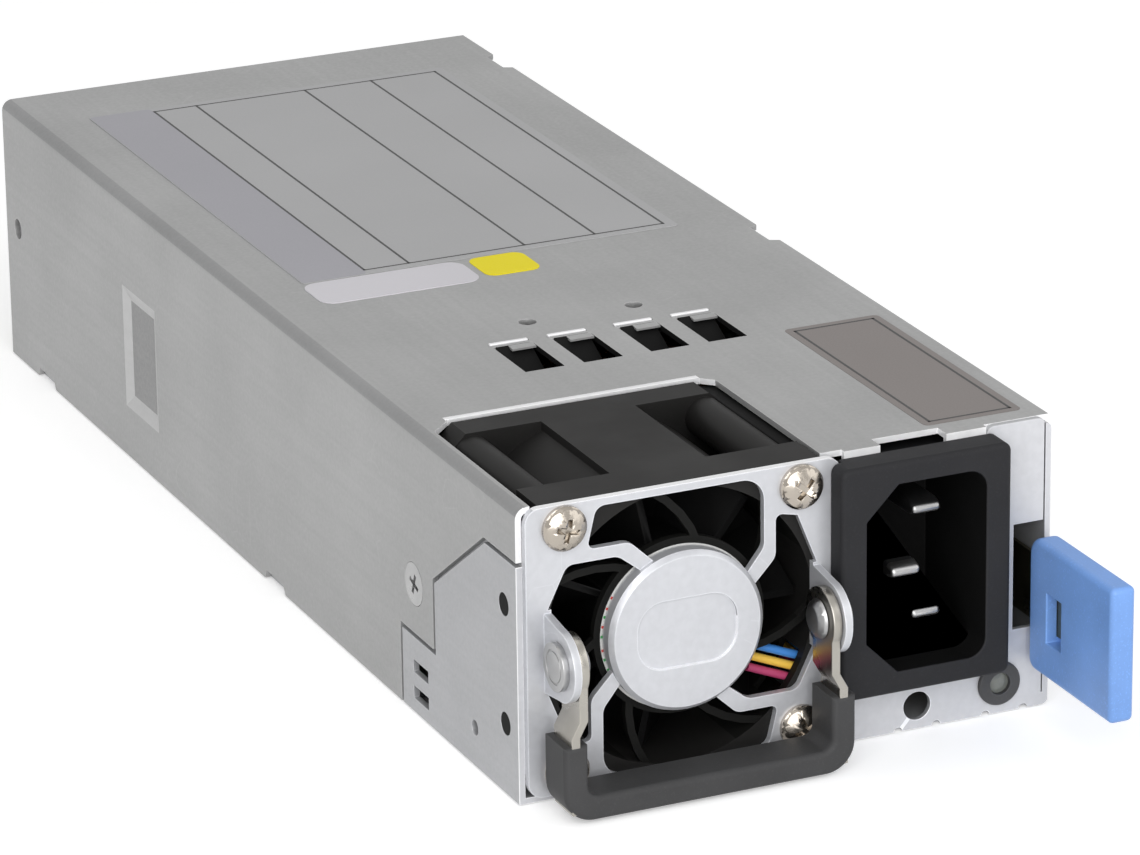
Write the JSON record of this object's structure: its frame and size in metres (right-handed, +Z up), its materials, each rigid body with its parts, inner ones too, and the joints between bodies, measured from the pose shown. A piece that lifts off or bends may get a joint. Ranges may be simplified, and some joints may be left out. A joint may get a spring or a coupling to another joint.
{
  "type": "hot swap server power supply",
  "caption": "Slim sheet-metal server power supply with a guarded fan, mains inlet, fold-down handle, sprung release latch and card-edge plug.",
  "frame": {"origin": "middle of the case's underside", "axes": "+X to the right seen from the fan side, +Y towards the plug edge at the rear, +Z up"},
  "size_m": [0.0755, 0.2153, 0.039],
  "materials": {
    "zinc_sheet": "satin galvanised sheet",
    "nickel": "bright nickel plate",
    "guard_steel": "satin stamped steel",
    "strap_steel": "bright plated steel",
    "black_plastic": "fine matte moulding",
    "grey_plastic": "satin moulding",
    "fan_plastic": "matte moulding",
    "blue_plastic": "satin blue moulding",
    "tin": "tin plate",
    "spring_steel": "bare spring steel",
    "lens": "smoked clear",
    "board_green": "solder resist",
    "gold": "gold plate",
    "film": "translucent sheet",
    "ferrite": "matte ferrite",
    "copper": "enamelled copper",
    "yellow_part": "moulded case",
    "blue_part": "dipped case",
    "can_sleeve": "sleeve",
    "aluminium": "extruded",
    "package": "moulded package",
    "fuse_glass": "plated caps",
    "magnet": "bonded magnet",
    "wire": "insulated wire",
    "white_plastic": "moulded connector"
  },
  "bodies": {
    "module": {"chassis": "zinc_sheet", "top_cover": "zinc_sheet", "rear_panel": "zinc_sheet", "cover_screw": "nickel", "fan_guard": "guard_steel", "fan_screws": "nickel", "fan_frame": "fan_plastic", "fan_bearings": "spring_steel", "fan_stator": "spring_steel", "fan_windings": "copper", "fan_leads": "wire", "fan_plug": "white_plastic", "handle_rivets": "nickel", "inlet_housing": "grey_plastic", "inlet_pins": "tin", "filter_board": "board_green", "lamp_holder": "black_plastic", "lamp_lens": "lens", "latch_rivets": "tin", "main_board": "board_green", "board_standoffs": "tin", "board_screws": "nickel", "insulating_sheet": "film", "edge_contacts": "gold", "line_choke_core": "ferrite", "line_choke_winding": "copper", "boost_choke_core": "ferrite", "boost_choke_winding": "copper", "film_capacitors": "yellow_part", "disc_capacitors": "blue_part", "mains_fuse": "fuse_glass", "bridge_rectifier": "package", "bulk_capacitor": "can_sleeve", "primary_heat_sink": "aluminium", "power_transistors": "package", "output_heat_sink": "aluminium", "output_capacitors": "can_sleeve", "control_board": "board_green", "bus_bars": "copper", "transformer_core": "ferrite", "transformer_winding": "yellow_part"},
    "fan": {"fan_rotor": "fan_plastic", "rotor_magnet": "magnet", "fan_shaft": "spring_steel"},
    "handle": {"handle_strap": "strap_steel", "handle_grip": "black_plastic"},
    "latch": {"latch_spring": "spring_steel", "latch_tab": "blue_plastic"}
  },
  "joints": [
    {"name": "fan_spin", "type": "hinge", "parent": "module", "child": "fan", "pos_m": [-0.0148, -0.0775, 0.0199], "axis": [0, 1, 0], "continuous": true},
    {"name": "handle_fold", "type": "hinge", "parent": "module", "child": "handle", "pos_m": [-0.0148, -0.0979, 0.0199], "axis": [-1, 0, 0], "range_deg": [0, 165]},
    {"name": "latch_flex", "type": "hinge", "parent": "module", "child": "latch", "pos_m": [0.03515, -0.0515, 0.016], "axis": [0, 0, -1], "range_deg": [0, 4.4], "stiffness_Nm_per_rad": 3}
  ]
}
